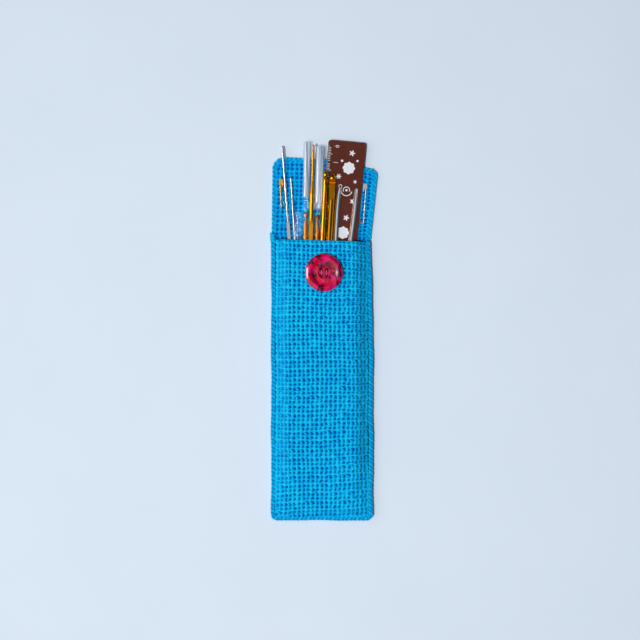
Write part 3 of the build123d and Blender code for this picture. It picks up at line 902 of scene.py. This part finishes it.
def sheet_walls(cells, rows, columns, offset):
    """Quads that join the top and bottom sheets along every edge where the kept cells end."""
    index = np.arange(rows * columns).reshape(rows, columns)
    padded = np.pad(cells, 1)
    walls = []
    for low, high, a, b in (
        (padded[:-1, 1:-1], padded[1:, 1:-1], index[:, :-1], index[:, 1:]),
        (padded[1:-1, :-1], padded[1:-1, 1:], index[1:], index[:-1]),
    ):
        for keep, p, q in ((high & ~low, a, b), (low & ~high, b, a)):
            p, q = p[keep], q[keep]
            walls.append(np.stack([p, p + offset, q + offset, q], -1))
    return np.concatenate(walls)


def rounded_corners(x, y):
    """Turns the squares of the flap's grid at its two top corners into circles."""
    for corner_x, corner_y, way, corner in (
        (flap_left[1], flap_top[0], 1, flap_corners[0]), (flap_right[1], flap_top[2], -1, flap_corners[1]),
    ):
        cx, cy = corner_x + way * corner, corner_y - corner
        a, b = (cx - x) * way, y - cy
        inside = (a > 0) & (b > 0)
        scale = np.where(inside, np.maximum(a, b) / np.maximum(np.hypot(a, b), 1e-6), 1)
        x, y = np.where(inside, cx - way * a * scale, x), np.where(inside, cy + b * scale, y)
    return x, y


def snapped_to_hole(x, y):
    """Draws the points nearest the buttonhole's outline onto it. Gives all points, and how far
    they were from the line along its middle."""
    middle_x, middle_y = buttonhole_middle
    half_x, half_y = buttonhole_size[0] / 2, buttonhole_size[1] / 2
    off_x = np.maximum(abs(x - middle_x) - (half_x - half_y), 0)
    off_y = y - middle_y
    away = np.hypot(off_x, off_y)
    near = abs(away - half_y) < snap_reach
    pull = np.where(near, half_y / np.maximum(away, 1e-6), 1)
    bar_x = np.where(off_x > 0, np.sign(x - middle_x) * (half_x - half_y) + middle_x, x)
    return np.where(near, bar_x + (x - bar_x) * pull, x), np.where(near, middle_y + off_y * pull, y), away


def flap_cloth():
    """The flap as it lies open: two sheets of stitches with a buttonhole through both."""
    rows, columns = flap_grid
    v, u = grid_shares(rows, columns, 0)
    inset = flap_border * flap_inset
    guess = flap_left[1] + (flap_right[1] - flap_left[1]) * u
    y = flap_base + (flap_top_at(guess) - inset - flap_base) * v
    left, right = flap_side(y, False) + inset, flap_side(y, True) - inset
    x, y = rounded_corners(left + (right - left) * u, y)
    x, y, away = snapped_to_hole(x, y)
    s = u * flap_stitches + flap_stitch_sway[0] * np.sin(y / flap_stitch_sway[1])
    t = v * flap_rows + flap_row_sway[0] * np.sin(x / flap_row_sway[1])
    from_hole = away - buttonhole_size[1] / 2
    edge = np.minimum(smooth(from_hole / hole_relief[1]) + hole_relief[0], 1)
    rim = rim_sink[0] * (1 - smooth(from_hole / rim_sink[1]))
    height, share, along, across = stitch_relief(s, t, flap_lean)
    top = np.stack([x, y, flap_face + height * yarn_relief * row_pitch * edge - rim], -1)
    height2, share2, along2, across2 = stitch_relief(flap_stitches - s, t + 1, flap_lean)
    z2 = flap_under - height2 * yarn_relief * row_pitch * under_relief * edge + rim
    bottom = np.stack([x, y, np.minimum(z2, top[..., 2] - flap_least)], -1)
    middle_away = (away[:-1, :-1] + away[1:, :-1] + away[:-1, 1:] + away[1:, 1:]) / 4
    cells = middle_away > buttonhole_size[1] / 2
    quads = grid_faces(rows, columns)[cells.ravel()]
    offset = rows * columns
    faces = [quads[:, ::-1], quads + offset, sheet_walls(cells, rows, columns, offset)]
    points = np.concatenate([top.reshape(-1, 3), bottom.reshape(-1, 3)])
    uv = np.concatenate([pairs(along, across), pairs(along2, across2)])
    # Crown shares for the painted shade and highlight, held down by the flap's highest crown
    values = np.concatenate([share.ravel(), share2.ravel()]) * flap_crown
    used = np.zeros(len(points), bool)
    for f in faces:
        used[f.ravel()] = True
    number = np.cumsum(used) - 1
    piece = add_piece(
        "crocheted_flap", points[used], [number[f] for f in faces], cotton, None,
        replaced=("flap_panel",), uv=uv[used], values=values[used],
    )
    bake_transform(piece)


def flap_edging():
    """The border round the flap's free edge."""
    inset = flap_border / 2
    corners = [
        (flap_left[0] + inset, flap_border_foot), (flap_left[1] + inset, flap_top[0] - inset),
        (flap_ridge_x, flap_top[1] - inset), (flap_right[1] - inset, flap_top[2] - inset),
        (flap_bulge - inset, flap_bulge_y), (flap_right[0] - inset, flap_border_foot),
    ]
    radii = [flap_corners[0] - inset, flap_bend, flap_corners[1] - inset - corner_ease, flap_bend]
    piece = edging_piece(
        "crocheted_flap_edging", corners, radii, flap_border * flap_border_half, fabric / 2,
        stitch_pitch * flap_border_stitch, ("flap_border",), None,
    )
    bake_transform(piece)


def wound_yarn(along):
    """The yarn's pattern on a round thread: its place along it, and once round it."""
    return pairs(*np.meshgrid(along, np.linspace(0, 2, round_sides), indexing="ij"))


def revolved(profile, sides):
    """Points of a profile of radius and height turned round Z, ring by ring."""
    angle = turns(sides)
    r, z = profile[:, :1], profile[:, 1:]
    return np.stack([r * np.cos(angle), r * np.sin(angle), z + 0 * angle], -1)


def oval_arc(middle_r, middle_z, half, angles):
    """Points of radius and height along an oval arc."""
    return [(middle_r + half[0] * cos(a), middle_z + half[1] * sin(a)) for a in angles]


def button():
    """The button: a profile turned round its axis, whose rim falls evenly to both sides of its
    crest, with a ring round its eye and four deep wells."""
    foot = button_radius - foot_round[0]
    low = [(0.05, 0.0), (foot, 0.0)]
    side = oval_arc(foot, foot_round[1], foot_round, np.linspace(-pi / 2, 0, 12))
    rim = oval_arc(button_radius - rim_round[0], rim_height, rim_round, np.linspace(0, rim_turn, 12))
    inner = np.linspace(button_radius - 0.5, 0.05, dish_points)
    from_crest = np.hypot(inner - (button_radius - crest_inset), crest_round)
    over = button_dish + crest_lift - crest_slope * from_crest
    top = button_height - button_dish + (over + np.hypot(over, dish_round)) / 2
    height, offset, width = eye_ring
    top += height * np.exp(-((inner - eye_radius - offset) / width) ** 2)
    top -= eye_depth * smooth((eye_radius - inner) / eye_wall)
    profile = np.concatenate([low, side, rim, np.stack([inner, top], -1)])
    points = revolved(profile, button_sides)
    away = np.min([
        np.hypot(points[..., 0] - a, points[..., 1] - b)
        for a in (-hole_half, hole_half) for b in (-hole_half, hole_half)
    ], axis=0)
    upper = np.arange(len(profile))[:, None] > len(profile) - dish_points
    well = hole_depth * smooth((hole_radius + hole_rim - away) / hole_wall)
    points[..., 2] -= np.where(upper, well, 0)
    points += (*button_middle, button_seat)
    add_piece(
        "resin_button", points.reshape(-1, 3), loop_faces(*points.shape[:2]), resin, "button",
        replaced=("button",),
    )


def sewing_thread():
    """The two stitches that sew the button on, from hole to hole over its eye."""
    stitches, faces, uv, count = [], [], [], 0
    floor = button_height - button_dish - eye_depth
    k = np.linspace(-1, 1, thread_points)
    dive = thread_dive[1] * np.clip(abs(k) - thread_dive[0], 0, 1)
    bridge = floor + thread_lift + thread_arch * (1 - k ** 2) - dive
    for x in (-hole_half, hole_half):
        path = np.stack([x + 0 * k, np.clip(k * thread_overrun, -1, 1) * hole_half, bridge], -1)
        ring, rings = tube(path + (*button_middle, button_seat), thread_radius, round_sides)
        stitches.append(ring)
        faces += [f + count for f in rings]
        count += len(ring)
        uv.append(wound_yarn(np.linspace(0, 2.2, thread_points)))
    add_piece(
        "sewing_thread", np.concatenate(stitches), faces, red_thread, "button",
        replaced=("button_thread",), uv=np.concatenate(uv),
        values=np.full(count, wound_crown),
    )


def safety_pin(pin, material, node):
    """A pin's wire: straight stem, a coil of one and a half turns, the run through the fabric and
    the rise to the cap."""
    foot, lean, length, wire, coil, head, side = pin
    high = fabric + pin_gap + wire
    drop = 1.5 * (2 * wire + coil_gap)
    rise_start = length - cap_run - rise_run
    wire_end = length - pin_end
    k = np.linspace(0, 1, 24)[:, None]
    stem = np.array([head, wire_end, high]) * (1 - k) + np.array([coil, 0, high]) * k
    turn = np.linspace(0, 3 * pi, 64)[1:]
    helix = np.stack([coil * np.cos(turn), -coil * np.sin(turn), high - drop * turn / (3 * pi)], -1)
    slope = (coil - head) / wire_end
    y = np.linspace(0, wire_end, 60)[1:]
    z = high - drop * (1 - smooth((y - rise_start) / rise_run))
    point = np.stack([-coil + slope * y, y, z], -1)
    path = np.concatenate([stem, helix, point])
    path[:, 0] *= side
    turned = atan(lean)
    x, y = path[:, 0].copy(), path[:, 1].copy()
    path[:, 0] = foot[0] + x * cos(turned) + y * sin(turned)
    path[:, 1] = foot[1] - x * sin(turned) + y * cos(turned)
    points, faces = tube(path, wire, round_sides)
    add_piece(node + "_drawn", points, faces, material, "flap", replaced=(node,))


# Ruler print
def on_ruler(across, down, lift):
    """Places points given across the ruler and down from its top on its face, which falls away
    along the bevelled scale edge."""
    slope = atan(ruler_line[1])
    top = ruler_top * hypot(1, ruler_line[1])
    along = top - down
    fall = bevel_slope * np.clip(bevel_width - (across + ruler_width / 2), 0, bevel_width)
    x = ruler_line[0] + across * cos(slope) + along * sin(slope)
    y = -across * sin(slope) + along * cos(slope)
    return np.stack([x, y, ruler_face - fall + lift], -1)


def ink_piece(name, points, faces):
    """Ink that rides on the ruler."""
    add_piece(name, np.concatenate(points), faces, ink, "ruler", smooth_faces=False)


def printed(name, shapes):
    """One piece of ink from closed outlines across and down the ruler: each is a thin plate."""
    points, faces, count = [], [], 0
    for across, down in shapes:
        across, down = np.asarray(across, float), np.asarray(down, float)
        low = on_ruler(across, down, -ink_depth)
        high = on_ruler(across, down, ink_thickness)
        points += [low, high]
        faces += [f + count for f in loop_faces(2, len(across))]
        count += 2 * len(across)
    ink_piece(name, points, faces)


def bar(a0, a1, d0, d1):
    """A straight stroke."""
    return [a0, a1, a1, a0], [d0, d0, d1, d1]


def blossom(a, d, radius, petals, depth):
    """A blossom: a circle whose radius rises and falls once a petal."""
    angle = turns(72)
    r = radius * (1 - depth + depth * np.cos(petals * angle))
    return a + r * np.cos(angle), d + r * np.sin(angle)


def arc_band(a, d, radius, width, start, end):
    """A curved stroke: an arc out and back."""
    angle = np.linspace(radians(start), radians(end), 40)
    inner, outer = radius - width / 2, radius + width / 2
    across = np.concatenate([a + outer * np.cos(angle), a + inner * np.cos(angle[::-1])])
    down = np.concatenate([d + outer * np.sin(angle), d + inner * np.sin(angle[::-1])])
    return across, down


def ruler_scale():
    """The scale down the ruler's edge: a stroke a millimetre, longer at fives and tens."""
    edge = -ruler_width / 2
    shapes = []
    ten, five, one = mark_lengths
    for number in range(scale_length + 1):
        length = ten if number % 10 == 0 else five if number % 5 == 0 else one
        down = first_mark + number
        shapes.append(bar(edge + mark_inset, edge + length, down - mark_half, down + mark_half))
    printed("ruler_scale_ink", shapes)


def ruler_digits():
    """The numbers of the centimetres, read along the ruler."""
    vertices, faces, count = [], [], 0
    for number in range(scale_length // 10 + 1):
        curve = bpy.data.curves.new("digits", "FONT")
        curve.body = str(number)
        curve.size = digit_size
        curve.align_x = "CENTER"
        curve.resolution_u = 4
        curve.extrude = 0.5
        text = bpy.data.objects.new("digits", curve)
        mesh = bpy.data.meshes.new_from_object(text)
        flat = np.array([v.co[:] for v in mesh.vertices])
        across = -ruler_width / 2 + digit_inset + flat[:, 1]
        down = first_mark + number * 10 + flat[:, 0]
        lift = np.where(flat[:, 2] > 0, ink_thickness, -ink_depth)
        vertices.append(on_ruler(across, down, lift))
        faces += [[i + count for i in f.vertices] for f in mesh.polygons]
        count += len(flat)
        bpy.data.objects.remove(text)
        bpy.data.meshes.remove(mesh)
        bpy.data.curves.remove(curve)
    ink_piece("ruler_digits_ink", vertices, faces)


def ruler_motifs():
    """Blossoms, rings, dots and arcs down the ruler's face."""
    shapes = []
    for start in (0, 40, 80, 120):
        shapes += [
            blossom(3.6, start + 7.0, 1.9, 5, 0.30), blossom(-2.2, start + 12.2, 0.75, 4, 0.0),
            blossom(2.4, start + 16.3, 3.9, 8, 0.07), blossom(7.3, start + 11.5, 0.7, 4, 0.0),
            blossom(-3.4, start + 22.0, 1.7, 6, 0.30), blossom(7.0, start + 24.4, 1.2, 5, 0.30),
            arc_band(2.2, start + 30.0, 3.4, 0.5, 10, 200), arc_band(2.2, start + 30.0, 2.0, 0.45, 150, 380),
            blossom(2.2, start + 30.0, 0.7, 4, 0.0), blossom(-2.6, start + 35.5, 0.6, 4, 0.0),
            arc_band(-1.8, start + 28.0, 1.0, 0.35, 0, 352), blossom(6.6, start + 36.6, 1.8, 5, 0.30),
        ]
    printed("ruler_motif_ink", shapes)


def knot():
    """The lump where the working yarn ends at the mouth's left corner: a yarn wound on itself."""
    k = np.linspace(0, 1, 90)
    angle = 2 * pi * knot_turns * k
    x = knot_middle[0] + knot_half[0] * np.cos(angle) - knot_lean * k
    y = knot_middle[1] + knot_length * (k - 0.5)
    z = knot_middle[2] + knot_half[1] * np.sin(angle)
    points, faces = tube(np.stack([x, y, z], -1), knot_yarn, round_sides)
    add_piece(
        "corner_knot", points, faces, cotton, "pouch",
        uv=wound_yarn(k * 14), values=np.full(len(points), wound_crown),
    )


front_panel()
back_panel()
pouch_edging()
flap_cloth()
flap_edging()
button()
sewing_thread()
knot()
safety_pin(brass_pin, brass, "brass_pin_wire")
safety_pin(steel_pin, pin_steel, "steel_pin_wire")
ruler_scale()
ruler_digits()
ruler_motifs()

dress(["steel_hook_long", "steel_hook_short"], steel)
dress(["gold_hook_in_tube_a", "gold_hook_in_tube_b"], gold)
dress(["gold_hook_slim", "gold_hook_middle", "gold_hook_wide"], gold)
dress(["short_tube", "storage_tube_a", "storage_tube_b"], tube_plastic)
dress(["tube_cap_a", "tube_cap_b"], cap_plastic)
dress(["ruler"], brown_plastic)
dress(["tweezers_left_leg", "tweezers_right_leg"], tweezers_steel)
dress(["brass_pin_cap"], brass)
dress(["steel_pin_cap"], pin_steel)


# Table, light and camera
def flat_square(name, half, z, material):
    """A flat square of that half width."""
    mesh = bpy.data.meshes.new(name)
    corners = [(-half, -half, z), (half, -half, z), (half, half, z), (-half, half, z)]
    mesh.from_pydata(corners, [], [(0, 1, 2, 3)])
    mesh.materials.append(material)
    add_object(name, mesh)


def area_light(name, place, size, energy):
    """An oblong soft light at a place, turned to the case."""
    light = bpy.data.lights.new(name, "AREA")
    light.shape = "RECTANGLE"
    light.size, light.size_y = size
    light.energy = energy
    obj = add_object(name, light)
    obj.location = place
    obj.rotation_euler = (Vector(light_target) - Vector(place)).to_track_quat("-Z", "Y").to_euler()
    return obj


flat_square("table", table_half, table_height, table_top())
key_light = area_light("key light", key_place, key_size, key_power)
key_light.visible_glossy = False
window_light = area_light("window light", window_place, window_size, window_power)
window_light.visible_diffuse = False


def studio_world():
    """A soft sky that is bright high on the left and dark low on the right, so that metal and
    clear plastic show both."""
    world = bpy.data.worlds.new("studio")
    bpy.context.scene.world = world
    world.use_nodes = True
    tree = world.node_tree
    towards = tree.nodes.new("ShaderNodeVectorMath")
    towards.operation = "DOT_PRODUCT"
    towards.inputs[1].default_value = sky_towards
    tree.links.new(tree.nodes.new("ShaderNodeTexCoord").outputs["Generated"], towards.inputs[0])
    up = between(tree, towards.outputs["Value"], *sky_span)
    sky = tree.nodes["Background"]
    tree.links.new(mix(tree, up, (0.05, 0.06, 0.08, 1), (1.0, 1.02, 1.06, 1)), sky.inputs["Color"])
    sky.inputs["Strength"].default_value = 1.0


studio_world()
camera_data = bpy.data.cameras.new("camera")
camera_data.lens = camera_lens
camera_data.sensor_width = 36
camera = add_object("camera", camera_data)
camera.location = (*view_middle, camera_height)
bpy.context.scene.camera = camera
bpy.context.scene.view_settings.view_transform = "Standard"
